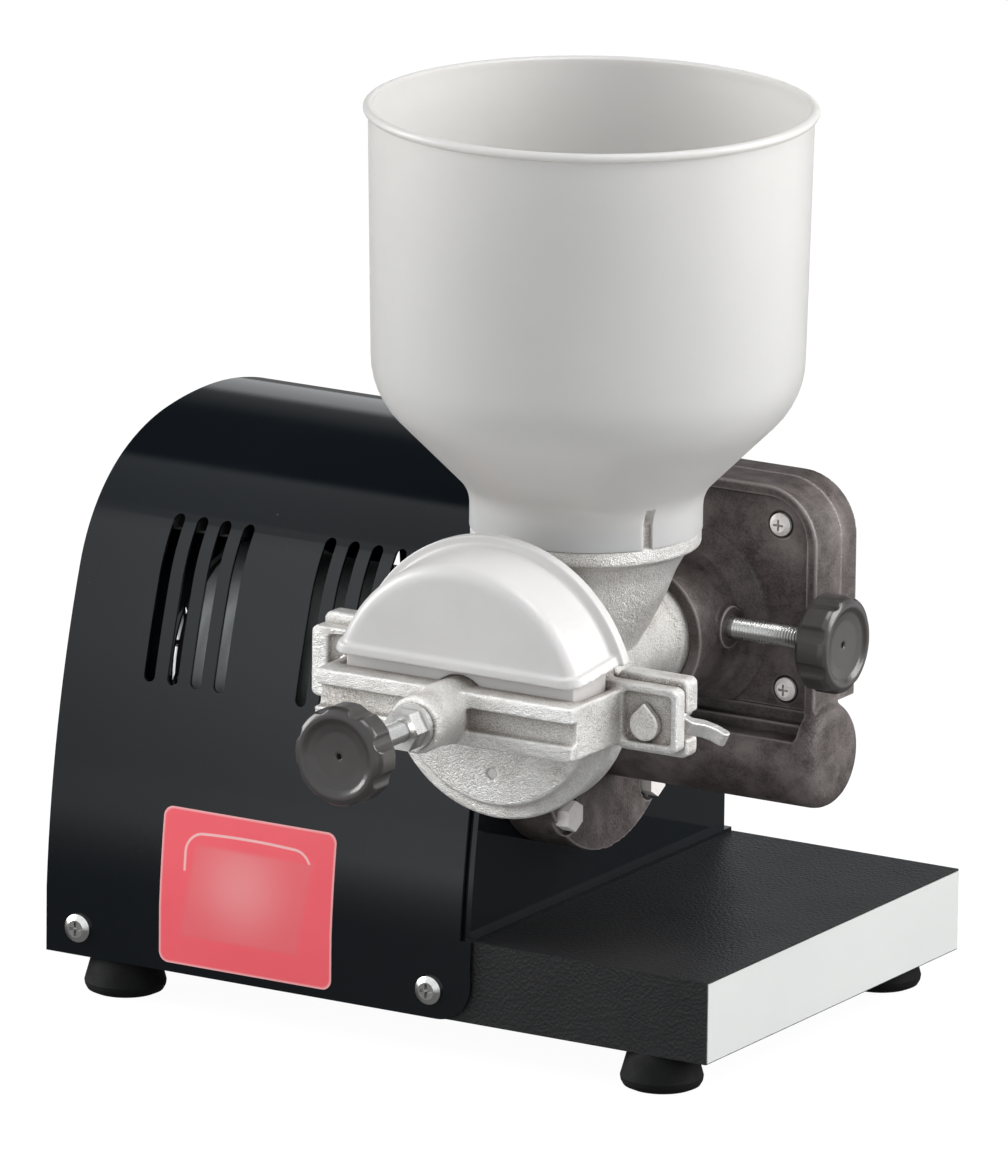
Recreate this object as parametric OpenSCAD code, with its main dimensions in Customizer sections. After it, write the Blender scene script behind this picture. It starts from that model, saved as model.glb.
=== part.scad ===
// Bench-top electric grain mill: motor under an arched cover, worm gearbox, cast mill head, hopper.
// The origin is on the floor, under the middle of the base. +Z is up and the mill head faces -Y.

/* [Stand] */
// Length of the base, left to right
base_l = 360; // [320:5:432]
// Width of the base, front to back
base_w = 240; // [200:5:288]
// Height of the base's folded side
base_h = 39.5; // [33:0.5:50]
// Gauge of the sheet metal
sheet = 1.5; // [1:0.1:2]
// Height of a rubber foot
foot_h = 18.5; // [15:0.5:26]
// Largest radius of a foot
foot_r = 19.5; // [16:0.5:22]
// Distance from a foot's centre to the base's end
foot_end = 33; // [26:1:60]
// Distance from a foot's centre to the base's side
foot_side = 18; // [17:0.5:24]

/* [Motor cover] */
// Length of the arched cover
cover_l = 227.5; // [222:0.5:236]
// Height of the arch's top above the floor
cover_top = 264.5; // [252:0.5:300]
// Width of a ventilation slot
slot_w = 6; // [4:0.5:8]
// Height of a ventilation slot
slot_h = 75.5; // [50:0.5:80]
// Spacing of the slots in a group
slot_pitch = 12.8; // [10:0.2:14]
// Width of the sticker
sticker_w = 95; // [60:1:100]
// Height of the sticker
sticker_h = 75; // [50:1:80]

/* [Drive] */
// Distance from the base's front to the motor axis
motor_setback = 81; // [79:0.5:90]
// Height of the motor axis above the base's top
motor_rise = 93.5; // [84:0.5:100]
// Radius of the motor's body
motor_r = 57; // [50:0.5:57.5]
// Length of the stator core
stator_l = 110; // [80:1:112]
// Radius of the motor and worm shaft
shaft_r = 8; // [6:0.5:8.5]
// Air gap between rotor and stator
air_gap = 0.4; // [0.3:0.05:0.8]
// Distance between the worm's axis and the mill's axis
centre_distance = 58; // [54:0.5:66]
// Tip radius of the worm
worm_r = 11; // [10:0.5:12]
// Gap left between the worm's tip and the wheel's teeth
mesh_gap = 0.6; // [0.4:0.1:1]
// Teeth on the worm wheel
wheel_teeth = 38; // [30:1:48]

/* [Gearbox] */
// Distance from the gearbox's mounting face to the mill's axis
mill_reach = 70.5; // [66:0.5:84]
// Radius of the round mounting flange
flange_r = 62; // [60:0.5:66]
// Thickness of the round mounting flange
flange_t = 28.5; // [20:0.5:32]
// Radius of the barrel round the worm
barrel_r = 25.5; // [23:0.5:27]
// Distance from the mill's axis to the gearbox's right end
block_right = 73.5; // [72:0.5:84]
// Height of the gearbox's top above the mill's axis
block_up = 69.5; // [68:0.5:84]
// Radius of the head's spigot
spigot_r = 28; // [24:0.5:33.6]
// Radial clearance of the spigot in its collar
spigot_gap = 0.1; // [0.05:0.01:0.1]

/* [Mill head] */
// Distance from the motor axis plane to the hopper's axis
hopper_ahead = 96.5; // [92:0.5:110]
// Distance from the hopper's axis to the grinding gap
grind_ahead = 65; // [62:0.5:75]
// Radius of the grinding discs
disc_r = 50; // [44:0.5:51]
// Gap between the grinding discs
disc_gap = 1; // [0.5:0.1:2]
// Distance from the mill's axis to a clamp bolt
bolt_reach = 79.5; // [77:0.5:84]
// Distance the clamp bolts sit below the mill's axis
bolt_drop = 3.5; // [0:0.5:5]
// Radius of a clamp bolt
bolt_r = 4; // [3:0.5:4.5]
// Radius of the auger's flight
auger_r = 19; // [16:0.5:19.5]
// Radius of the guard at its front
guard_r = 66.5; // [65:0.5:70]

/* [Hopper] */
// Radius of the hopper's rim
hopper_r = 104; // [87:1:125]
// Height of the hopper above its seat
hopper_h = 197; // [164:1:236]
// Wall of the hopper
hopper_wall = 2.2; // [1.6:0.1:3]
// Radius of the hopper's neck
neck_r = 53.5; // [50:0.5:55]

/* [Knobs and screws] */
// Radius of a hand knob
knob_r = 23; // [18:0.5:25]
// Depth of a hand knob
knob_d = 17; // [14:0.5:21]
// Number of flutes round a hand knob
knob_flutes = 8; // [6:1:10]
// Radius of the adjusting and lock screws
screw_r = 5; // [4:0.5:5.5]
// Thread pitch of the adjusting and lock screws
pitch = 1.5; // [1:0.25:2]
// Radius of a sliding screw's clearance
screw_gap = 0.1; // [0.05:0.01:0.1]

/* [Hidden] */
$fn = 64;

tiny = 0.01;
front_y = -base_w / 2;
left_x = -base_l / 2;
base_z = foot_h;
deck_z = foot_h + base_h;
tray_gap = 0.6;
tray_w = base_w - 2 * (sheet + tray_gap);
lip = 30;
foot_x = base_l / 2 - foot_end;
foot_y = base_w / 2 - foot_side;
foot_screw_r = 2.5;

// Arch: arcs from the crown down, each [radius, angle at its lower end], tangent to the next.
// The first radius of each side is what fills the width that the other arcs leave.
apex_y = 22;
front_arcs = [[115, 62], [84, 18], [590, 3]];
front_crown = 80;
back_arcs = [[58, 10], [600, 0]];
back_crown = 75;
arc_steps = 14;
cover_x = left_x + cover_l;
tab_out = 6;
tab_r = 18;
slot_top = cover_top - 36;
slot_groups = [47, 130.4];
cover_screw_x = [18, 211.5];
cover_screw_z = base_z + 13.5;
cover_screw_r = 2.5;
sticker_x = left_x + 63;
sticker_t = 0.3;
strip_t = 0.4;

plate_t = 2;
plate_x = cover_x + 4;
plate_gap = 1;
plate_rim = 12;
plate_foot = 4;
panel_t = 1.5;
panel_x = left_x + 1.5;

motor_y = front_y + motor_setback;
motor_z = deck_z + motor_rise;
pilot_r = 42;
bell_l = 30;
bell_wall = 4;
stator_x = plate_x - plate_t - bell_l;
stator_end = stator_x - stator_l;
bell_end = stator_end - bell_l;
rotor_r = 33;
core_r = motor_r - 2;
bearing_ro = 17.5;
bearing_w = 10;
fan_r = 52;
fan_l = 20;
fan_x = bell_end - 4;
fan_blades = 9;
fan_opening_r = 55;
shroud_t = 1.5;
shroud_end = fan_x - 2.5;
guard_wire = 3;
tie_bolt_r = 2.5;
tie_circle = motor_r - 5;
capacitor_r = 18;
capacitor_l = 80;
capacitor_x = left_x + 60;
capacitor_y = base_w / 2 - 38;
capacitor_z = deck_z + capacitor_r + 2;
switch_y = base_w / 2 - 52;
switch_z = deck_z + 78;
switch_w = 19;
switch_h = 26;
rocker_w = switch_w - 6;
rocker_x = panel_x + 3;
pivot_r = 1.5;
pivot_l = rocker_w + 4;
pivot_gap = 0.1;
inlet_y = base_w / 2 - 52;
inlet_z = deck_z + 25;
inlet_r = 8;

mill_x = plate_x + mill_reach;
mill_z = motor_z + centre_distance;
flange_x = plate_x + flange_t;
flange_circle = 53.5;
flange_bolt_r = 4;
block_end = mill_x + block_right;
barrel_end = block_end + 5.5;
block_left = plate_x + 4.5;
rim_y = motor_y - 12;
cover_y = motor_y - 8;
cover_t = 3.2;
parting_y = motor_y + 11;
back_y = motor_y + 26;
block_top = mill_z + block_up;
block_low = mill_z - 49.5;
back_low = mill_z - 34.5;
block_corner = 28;
cover_corner = 20;
cover_up = 63.6;
cover_down = 36.4;
cover_side = 67.5;
cover_left = 62;
recess_down = 47.5;
recess_step = 43;
worm_bearing_r = 13.5;
tunnel_r = 14;
// The cover screws as [distance to the side, distance above the axis], and the rings round them.
cover_screw_places = [[52, 50.5], [56, -27.5]];
screw_ring_r = 6.7;
screw_ring_depth = 0.9;
wheel_w = 8;
wheel_r = centre_distance - worm_r - mesh_gap;
wheel_room = 2.4;
tooth_h = 3;
collar_y = motor_y - 49;
collar_r = 34;
seat_y = motor_y - 18;
out_r = 12.5;
out_bearing_r = 18.5;
out_bearing_w = 7;
seal_w = 3;
bearing_front = -(motor_y - wheel_w / 2 - 0.5 - out_bearing_w);
seal_r = 16;
worm_l = 46;
thread_depth = 2.5;
worm_pitch = 7.5;
lock_y = motor_y - 25;
lock_z = mill_z + 3;
lock_boss = 36.5;
lock_boss_r = 10;
lock_knob_x = block_end + 8;
socket = 14.8;
tang = 14;

hopper_y = motor_y - hopper_ahead;
grind_y = hopper_y - grind_ahead;
seat_z = mill_z + 62;
ring_t = 7;
ring_up = 11;
neck_gap = 0.3;
bore_r = auger_r + 1.3;
tube_r = bore_r + 4.5;
body_r = 58.5;
chamber_r = disc_r + 5;
disc_t = 5;
chamber_y = grind_y + 12.5;
chamber_back = seat_y - 1 - chamber_y - 4;
carrier_r = 32;
disc_back = grind_y + disc_gap / 2 + disc_t;
spigot_l = seat_y - collar_y + 5;
outlet_w = 44;
bolt_z = mill_z - bolt_drop;
body_front = grind_y - 3;
ear_y = grind_y - 8.5;
ear_t = 9.5;
body_ear_h = 37;
left_ear_up = 5;
fork_h = 12;
ear_out = bolt_reach + 17.5;
head_r = 7.4;
head_tip = 10.5;
yoke_r = 60;
yoke_face_r = 52.5;
yoke_rear = grind_y - 5.5;
yoke_rim = grind_y - 12.5;
yoke_face = grind_y - 16.5;
yoke_ear_h = 30;
bar_y = grind_y - 60.5;
bar_t = 14;
bar_h = 25;
bar_low = mill_z - bar_h / 2 - 0.7;
bar_half = 68;
arm_t = 5;
tray_depth = 4;
tray_rim = 3.5;
disc_screw_out = 38;
disc_screw_angles = [30, 150, 270];
disc_screw_r = 2.5;
channel_h = 10.4;
channel_depth = 5;
channel_start = 12;
boss_y = bar_y - 25;
boss_r = 14.5;
boss_tip_r = 12.5;
shaft_end_r = 9;
hub_y = grind_y - 20;
bush_r = 14;
bush_gap = 0.05;
nut_t = 12;
nut_flange_r = 10.8;
nut_af = 17;
nut_play = 0.3;
knob_face_y = grind_y - 152.5;
knob_hub = 3;
knob_hole_r = 1.3;
ball_r = 3.5;
ball_y = grind_y - 8.4;
tip_y = ball_y - ball_r - 0.1;
washer_t = 1.6;
washer_r = 8.5;
wing_reach = 26;
wing_turn = 26;

guard_front = grind_y - 50.5;
guard_rear = grind_y - 11.5;
guard_t = 2;
guard_flare = 3.4;
guard_rear_r = 73.5;
guard_edge = 7;
guard_lip = 1.8;
guard_lip_h = 4.5;
guard_low = 18;
guard_tilt = 8;
wall_foot_r = hopper_r - 4.6;
shoulder_arc = 40;
neck_fillet = 18;
neck_h = 10;
notch_angle = -27.5;
wall_foot_h = wall_foot_r - neck_r + neck_h + (shoulder_arc + neck_fillet) * (sqrt(2) - 1);
shelf_z = mill_z + 9.5;
shelf_t = 4;
skirt_half = 60;

function arc_points(cy, cz, r, a0, a1, n) =
    [for (i = [0:n]) let (a = a0 + (a1 - a0) * i / n) [cy + r * cos(a), cz + r * sin(a)]];

// Depth of the arcs after the crown, from the crown's lower end outwards.
function arcs_depth(arcs, from, i = 0) = i == len(arcs) ? 0
    : arcs[i][0] * (cos(arcs[i][1]) - cos(from)) + arcs_depth(arcs, arcs[i][1], i + 1);

function with_crown(width, arcs, crown) =
    concat([[(width - arcs_depth(arcs, crown)) / cos(crown), crown]], arcs);

function arc_centre(arcs, i) = i == 0 ? [0, cover_top - arcs[0][0]]
    : arc_centre(arcs, i - 1) + (arcs[i - 1][0] - arcs[i][0])
        * [cos(arcs[i - 1][1]), sin(arcs[i - 1][1])];

// One side of the arch, from the crown to below the base. inset moves the outline inwards.
function arch_side(arcs, inset) =
    let (last = len(arcs) - 1)
    concat([for (i = [0:last])
        each arc_points(arc_centre(arcs, i)[0], arc_centre(arcs, i)[1], arcs[i][0] - inset,
            i == 0 ? 90 : arcs[i - 1][1], arcs[i][1], arc_steps)],
    [[arc_centre(arcs, last)[0] + (arcs[last][0] - inset) * cos(arcs[last][1]), -base_w]]);

module arch(inset, foot) {
    front = arch_side(with_crown(base_w / 2 + apex_y, front_arcs, front_crown), inset);
    back = arch_side(with_crown(base_w / 2 - apex_y, back_arcs, back_crown), inset);
    count = len(back);
    intersection() {
        polygon(concat([for (p = front) [apex_y - p[0], p[1]]],
            [for (i = [1:count - 1]) [apex_y + back[count - i][0], back[count - i][1]]]));
        translate([-base_w, foot]) square([2 * base_w, 2 * cover_top]);
    }
}

// Extrudes a (Y, Z) outline along +X from x.
module along_x(x, length) {
    translate([x, 0, 0]) rotate([90, 0, 90]) linear_extrude(length) children();
}

// Extrudes an (X, Z) outline towards -Y from y.
module forward(y, length) {
    translate([0, y, 0]) rotate([90, 0, 0]) linear_extrude(length) children();
}

// Turns a (radius, distance ahead) outline about the mill's axis, from plane y.
module turned(y) {
    translate([mill_x, y, mill_z]) rotate([90, 0, 0]) rotate_extrude() children();
}

module rod_x(x, y, z, r, length) {
    translate([x, y, z]) rotate([0, 90, 0]) cylinder(r = r, h = length);
}

module rod_forward(x, y, z, r, length) {
    translate([x, y, z]) rotate([90, 0, 0]) cylinder(r = r, h = length);
}

module tube_x(x, y, z, r, bore, length) {
    difference() {
        rod_x(x, y, z, r, length);
        rod_x(x - 1, y, z, bore, length + 2);
    }
}

module tube_forward(x, y, z, r, bore, length) {
    difference() {
        rod_forward(x, y, z, r, length);
        rod_forward(x, y + 1, z, bore, length + 2);
    }
}

module mill_tube(y, r, bore, length) {
    tube_forward(mill_x, y, mill_z, r, bore, length);
}

// Rectangle from (x0, y0) to (x1, y1) with round corners of radius r.
module round_box(x0, y0, x1, y1, r) {
    translate([x0 + r, y0]) square([x1 - x0 - 2 * r, y1 - y0]);
    translate([x0, y0 + r]) square([x1 - x0, y1 - y0 - 2 * r]);
    for (x = [x0 + r, x1 - r], y = [y0 + r, y1 - r]) translate([x, y]) circle(r);
}

// Straight stroke of width 2r with round ends.
module stroke(p, q, r) {
    d = q - p;
    translate(p) circle(r);
    translate(q) circle(r);
    translate(p) rotate(atan2(d[1], d[0])) translate([0, -r]) square([norm(d), 2 * r]);
}

// Pan head with a crossed recess, its seat at z = 0 and its shank pointing down.
module cross_screw(head_r, head_t, shank_r, shank_l) {
    difference() {
        union() {
            cylinder(r = head_r, h = head_t * 0.45);
            translate([0, 0, head_t * 0.45 - tiny])
                cylinder(r1 = head_r, r2 = head_r * 0.62, h = head_t * 0.55);
            translate([0, 0, -shank_l]) cylinder(r = shank_r, h = shank_l + tiny);
        }
        for (a = [0, 90]) rotate(a)
            translate([-head_r * 0.5, -head_r * 0.1, head_t * 0.4])
                cube([head_r, head_r * 0.2, head_t]);
    }
}

// Hex head, its seat at z = 0 and its shank pointing down.
module hex_bolt(across, head_t, shank_r, shank_l) {
    cylinder(r = across / sqrt(3), h = head_t, $fn = 6);
    translate([0, 0, -shank_l]) cylinder(r = shank_r, h = shank_l + tiny);
}

// Rod along +Z with thread ridges between z0 and z1.
module threaded_rod(r, length, z0, z1, step) {
    depth = step * 0.45;
    turns = floor((z1 - z0) / step);
    rotate_extrude() polygon(concat(
        [[0, 0], [r - 0.6, 0], [r, 0.6], [r, z0]],
        [for (i = [0:turns - 1], k = [0, 1])
            [r - depth * k, z0 + (i + 0.5 + 0.5 * k) * step]],
        [[r, z0 + turns * step + 0.5 * step], [r, length - 0.6], [r - 0.6, length], [0, length]]));
}

// Fluted hand knob along +Z: back at z = 0, face at z = knob_d, bore for the screw's end.
module hand_knob() {
    difference() {
        intersection() {
            linear_extrude(knob_d) difference() {
                circle(knob_r);
                for (i = [0:knob_flutes - 1]) rotate((i + 0.5) * 360 / knob_flutes)
                    translate([knob_r + 3.6, 0]) circle(5.6);
            }
            rotate_extrude() polygon([[0, 0], [knob_r - 3, 0], [knob_r, 3], [knob_r, knob_d - 3.5],
                [knob_r - 1, knob_d - 1.4], [knob_r - 3.4, knob_d], [0, knob_d]]);
        }
        translate([0, 0, knob_d]) rotate_extrude() polygon([[0, -2.6], [knob_r * 0.5, -2.3],
            [knob_r * 0.68, -1.5], [knob_r * 0.78, 0], [knob_r * 0.78, 1], [0, 1]]);
        translate([0, 0, knob_d - 6]) cylinder(r = knob_hole_r, h = 6);
        translate([0, 0, -1]) cylinder(r = screw_r, h = knob_d * 0.6 + 1);
    }
    translate([0, 0, -knob_hub]) difference() {
        cylinder(r = knob_r * 0.5, h = knob_hub + tiny);
        translate([0, 0, -1]) cylinder(r = screw_r, h = knob_hub + 2);
    }
}

module base_tray() {
    color([0.07, 0.07, 0.08]) difference() {
        translate([left_x, -tray_w / 2, base_z]) cube([base_l - strip_t, tray_w, base_h]);
        translate([left_x + sheet, -tray_w / 2 + sheet, base_z - 1])
            cube([base_l - strip_t - 2 * sheet, tray_w - 2 * sheet, base_h - sheet + 1]);
        for (s = [-1, 1]) for (x = cover_screw_x)
            rod_forward(left_x + x, s * base_w / 2 + 10, cover_screw_z, cover_screw_r, 20);
    }
    color([0.07, 0.07, 0.08]) for (s = [-1, 1]) difference() {
        translate([left_x + sheet, s > 0 ? tray_w / 2 - lip : -tray_w / 2 + sheet - tiny, base_z])
            cube([base_l - strip_t - 2 * sheet, lip - sheet + tiny, sheet]);
        for (x = [-foot_x, foot_x]) translate([x, s * foot_y, base_z - 1])
            cylinder(r = foot_screw_r, h = sheet + 2);
    }
}

module end_strip() {
    color([0.87, 0.87, 0.86]) translate([base_l / 2 - strip_t, -tray_w / 2 + 0.8, base_z + 0.6])
        cube([strip_t, tray_w - 1.6, base_h - 1.6]);
}

module rubber_feet() {
    recess_r = 6;
    color([0.1, 0.1, 0.1]) for (x = [-foot_x, foot_x], y = [-foot_y, foot_y])
        translate([x, y, 0]) difference() {
            rotate_extrude() polygon([[0, 0], [foot_r - 4, 0], [foot_r - 1.4, 1.2],
                [foot_r - 0.3, 3.2], [foot_r, 5.2], [foot_r - 0.6, 7.4], [foot_r - 3.6, foot_h],
                [0, foot_h]]);
            translate([0, 0, -1]) cylinder(r = recess_r, h = foot_h * 0.5 + 1);
            cylinder(r = foot_screw_r, h = foot_h + 1);
        }
}

module foot_screws() {
    head_t = 3.5;
    color([0.75, 0.75, 0.76]) for (x = [-foot_x, foot_x], y = [-foot_y, foot_y])
        translate([x, y, foot_h * 0.5]) rotate([180, 0, 0])
            cross_screw(4.6, head_t, foot_screw_r, foot_h * 0.5 + 5);
}

module slot_cutters() {
    for (x = slot_groups, i = [0:3]) translate([left_x + x + i * slot_pitch, 0, 0])
        for (s = [-1, 1]) forward(s > 0 ? base_w : 0, base_w)
            stroke([0, slot_top - slot_h + slot_w / 2], [0, slot_top - slot_w / 2], slot_w / 2);
}

module motor_cover() {
    color([0.04, 0.04, 0.05]) difference() {
        along_x(left_x, cover_l + tab_out) arch(0, base_z);
        along_x(left_x - 1, cover_l + tab_out + 2) arch(sheet, base_z - 1);
        translate([cover_x, -base_w, deck_z]) cube([2 * tab_out, 2 * base_w, cover_top]);
        slot_cutters();
        translate([cover_x + tab_out - tab_r, -base_w, base_z - 1]) difference() {
            cube([2 * tab_r, 2 * base_w, tab_r + 1]);
            translate([0, -1, tab_r + 1]) rotate([-90, 0, 0])
                cylinder(r = tab_r, h = 2 * base_w + 2);
        }
        for (s = [-1, 1]) for (x = cover_screw_x)
            rod_forward(left_x + x, s * base_w / 2 + 10, cover_screw_z, cover_screw_r, 20);
    }
}

module cover_screws() {
    color([0.8, 0.81, 0.82]) for (s = [-1, 1]) for (x = cover_screw_x)
        translate([left_x + x, s * base_w / 2, cover_screw_z]) rotate([-90 * s, 0, 0])
            cross_screw(6.8, 3.2, cover_screw_r, 9);
}

module front_sticker() {
    color([0.93, 0.37, 0.41]) intersection() {
        forward(0, base_w) round_box(sticker_x, base_z + 4.5, sticker_x + sticker_w,
            base_z + 4.5 + sticker_h, 5);
        difference() {
            along_x(sticker_x - 1, sticker_w + 2) arch(-sticker_t, base_z);
            along_x(sticker_x - 2, sticker_w + 4) arch(0, base_z - 1);
        }
    }
}

module arch_panel(x, t, rim_dir) {
    inset = sheet + plate_gap;
    along_x(x, t) arch(inset, deck_z);
    along_x(rim_dir < 0 ? x - plate_rim : x, plate_rim + t) difference() {
        arch(inset, deck_z);
        translate([0, -tiny]) arch(inset + t, deck_z - 1);
    }
}

module gearbox_end_plate() {
    color([0.05, 0.05, 0.06]) difference() {
        union() {
            arch_panel(plate_x - plate_t, plate_t, -1);
            translate([plate_x - tiny, -base_w / 2 + sheet + 1, deck_z])
                cube([plate_foot, base_w - 2 * sheet - 2, plate_t]);
        }
        rod_x(plate_x - 10, motor_y, motor_z, pilot_r, 20);
        flange_holes(plate_x - 10, 20);
    }
}

module flange_holes(x, length) {
    for (a = [45:90:315]) rod_x(x, motor_y + flange_circle * cos(a),
        motor_z + flange_circle * sin(a), flange_bolt_r + bush_gap, length);
}

module left_end_panel() {
    color([0.05, 0.05, 0.06]) difference() {
        arch_panel(panel_x, panel_t, 1);
        rod_x(panel_x - 5, motor_y, motor_z, fan_opening_r, 10);
        for (a = [45:90:315]) rod_x(panel_x - 5, motor_y + (fan_opening_r + 6) * cos(a),
            motor_z + (fan_opening_r + 6) * sin(a), 1.5, 10);
        along_x(panel_x - 5, 10) translate([switch_y, switch_z])
            square([switch_w, switch_h], center = true);
        rod_x(panel_x - 5, inlet_y, inlet_z, inlet_r, 10);
    }
}

module fan_shroud() {
    start = panel_x + panel_t;
    color([0.05, 0.05, 0.06]) tube_x(start, motor_y, motor_z, fan_opening_r + shroud_t,
        fan_opening_r, shroud_end - start);
}

module fan_guard() {
    rings = [14, 26, 38, 50];
    color([0.6, 0.6, 0.62]) translate([panel_x - guard_wire, motor_y, motor_z])
        rotate([90, 0, 90]) linear_extrude(guard_wire) {
            for (r = rings) difference() {
                circle(r + 1.2);
                circle(r - 1.2);
            }
            for (a = [45:90:315]) rotate(a) difference() {
                union() {
                    translate([rings[0], -1.5]) square([fan_opening_r + 6 - rings[0], 3]);
                    translate([fan_opening_r + 6, 0]) circle(5);
                }
                translate([fan_opening_r + 6, 0]) circle(1.6);
            }
        }
}

module fan_guard_screws() {
    color([0.75, 0.75, 0.76]) for (a = [45:90:315])
        translate([panel_x - guard_wire, motor_y + (fan_opening_r + 6) * cos(a),
            motor_z + (fan_opening_r + 6) * sin(a)]) rotate([0, -90, 0])
            cross_screw(3.4, 2, 1.5, 8);
}

module switch_housing() {
    color([0.08, 0.08, 0.08]) difference() {
        union() {
            along_x(panel_x - 2, 2) translate([switch_y, switch_z])
                square([switch_w + 4, switch_h + 4], center = true);
            along_x(panel_x - tiny, 24) translate([switch_y, switch_z])
                square([switch_w, switch_h], center = true);
        }
        along_x(panel_x - 3, 14) translate([switch_y, switch_z])
            square([switch_w - 5, switch_h - 5], center = true);
        rod_forward(rocker_x, switch_y + pivot_l / 2 + pivot_gap, switch_z, pivot_r + pivot_gap,
            pivot_l + 2 * pivot_gap);
    }
}

module rocker_switch() {
    rocker_h = switch_h - 6.4;
    color([0.12, 0.12, 0.12]) {
        translate([rocker_x, switch_y - rocker_w / 2, switch_z]) rotate([90, 0, 0])
            mirror([0, 0, 1]) linear_extrude(rocker_w)
                polygon([[2, -rocker_h / 2 + 1.5], [-3, -rocker_h / 2], [-4.2, 0],
                    [-7.2, rocker_h / 2 - 2.2], [2, rocker_h / 2 - 2.2], [4, 0]]);
        rod_forward(rocker_x, switch_y + pivot_l / 2, switch_z, pivot_r, pivot_l);
    }
}

module cord_inlet() {
    color([0.08, 0.08, 0.08]) {
        tube_x(panel_x - 6, inlet_y, inlet_z, inlet_r + 3, 4, 6);
        tube_x(panel_x - tiny, inlet_y, inlet_z, inlet_r, 4, panel_t + 2 * tiny);
        tube_x(panel_x + panel_t, inlet_y, inlet_z, inlet_r + 3, 4, 5);
    }
}

module stator_core() {
    color([0.36, 0.38, 0.37]) difference() {
        tube_x(stator_end, motor_y, motor_z, core_r, rotor_r, stator_l);
        tie_holes(stator_end - 1, stator_l + 2);
    }
}

module tie_holes(x, length) {
    for (a = [0:90:270]) rod_x(x, motor_y + tie_circle * cos(a), motor_z + tie_circle * sin(a),
        tie_bolt_r, length);
}

module stator_winding() {
    coil_l = 15;
    color([0.62, 0.33, 0.16]) for (x = [stator_x, stator_end - coil_l])
        tube_x(x, motor_y, motor_z, core_r - 9, rotor_r + 3, coil_l);
}

// Cup that closes one end of the stator, open towards the stator at its own x = 0 face.
module end_bell(outside_x, dir) {
    open_x = outside_x + dir * bell_l;
    low = min(outside_x, open_x);
    difference() {
        rod_x(low, motor_y, motor_z, motor_r, bell_l);
        rod_x(dir > 0 ? low + bell_wall + bearing_w : low - 1, motor_y, motor_z, core_r - 7,
            bell_l - bell_wall - bearing_w + 1);
        rod_x(dir > 0 ? low + bell_wall : low - 1, motor_y, motor_z, bearing_ro,
            bell_l - bell_wall + 1);
        rod_x(low - 1, motor_y, motor_z, shaft_r + 2, bell_l + 2);
        tie_holes(low - 1, bell_l + 2);
        if (dir < 0) flange_holes(low + 12, bell_l);
    }
}

module front_end_bell() {
    color([0.55, 0.57, 0.58]) end_bell(plate_x - plate_t, -1);
}

module rear_end_bell() {
    color([0.55, 0.57, 0.58]) end_bell(bell_end, 1);
}

module motor_tie_bolts() {
    color([0.7, 0.7, 0.72]) for (a = [0:90:270])
        translate([bell_end, motor_y + tie_circle * cos(a), motor_z + tie_circle * sin(a)])
            rotate([0, -90, 0]) hex_bolt(8, 3.5, tie_bolt_r, 2 * bell_l + stator_l);
}

module front_motor_bearing() {
    color([0.8, 0.8, 0.82]) tube_x(plate_x - plate_t - bell_wall - bearing_w, motor_y, motor_z,
        bearing_ro, shaft_r + bush_gap, bearing_w);
}

module rear_motor_bearing() {
    color([0.8, 0.8, 0.82]) tube_x(bell_end + bell_wall, motor_y, motor_z, bearing_ro,
        shaft_r + bush_gap, bearing_w);
}

module run_capacitor() {
    color([0.85, 0.85, 0.83]) {
        rod_x(capacitor_x, capacitor_y, capacitor_z, capacitor_r, capacitor_l);
        for (s = [-5, 5]) rod_x(capacitor_x - 8, capacitor_y + s, capacitor_z, 1.6, 8 + tiny);
    }
}

module capacitor_clip() {
    clip_w = 14;
    color([0.45, 0.45, 0.47]) difference() {
        union() {
            rod_x(capacitor_x + 30, capacitor_y, capacitor_z, capacitor_r + 1.2, clip_w);
            translate([capacitor_x + 30, capacitor_y - 14, deck_z])
                cube([clip_w, 28, capacitor_z - deck_z - 8]);
        }
        rod_x(capacitor_x + 29, capacitor_y, capacitor_z, capacitor_r, clip_w + 2);
        translate([capacitor_x + 29, capacitor_y - 6, capacitor_z])
            cube([clip_w + 2, 12, capacitor_r + 5]);
        translate([capacitor_x + 29, -base_w, deck_z - 5]) cube([clip_w + 2, 2 * base_w, 5]);
    }
}

module rotor_core() {
    color([0.5, 0.5, 0.52]) tube_x(stator_end + 1, motor_y, motor_z, rotor_r - air_gap, shaft_r,
        stator_l - 2);
}

module worm_shaft() {
    start = fan_x - fan_l;
    worm_x = mill_x - worm_l / 2;
    ridges = floor(worm_l / worm_pitch);
    color([0.66, 0.67, 0.7]) {
        difference() {
            rod_x(start, motor_y, motor_z, shaft_r, barrel_end - 9 - start);
            rod_x(worm_x, motor_y, motor_z, 2 * shaft_r, worm_l);
        }
        translate([worm_x - tiny, motor_y, motor_z]) rotate([0, 90, 0]) rotate_extrude()
            polygon(concat([[0, 0]], [for (i = [0:ridges - 1], k = [0:3])
                [worm_r - (k == 0 || k == 3 ? thread_depth : 0), (i + [0, 0.25, 0.6, 0.85][k])
                    * worm_l / ridges]],
                [[worm_r - thread_depth, worm_l + 2 * tiny], [0, worm_l + 2 * tiny]]));
    }
}

module cooling_fan() {
    color([0.15, 0.15, 0.16]) translate([fan_x - fan_l, motor_y, motor_z]) rotate([90, 0, 90])
        difference() {
            union() {
                cylinder(r = 14, h = fan_l);
                translate([0, 0, fan_l - 3]) cylinder(r = fan_r, h = 3);
                for (i = [0:fan_blades - 1]) rotate(i * 360 / fan_blades)
                    translate([12, -1, 0]) cube([fan_r - 13, 2, fan_l - 2]);
            }
            translate([0, 0, -1]) cylinder(r = shaft_r, h = fan_l + 2);
        }
}

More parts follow.
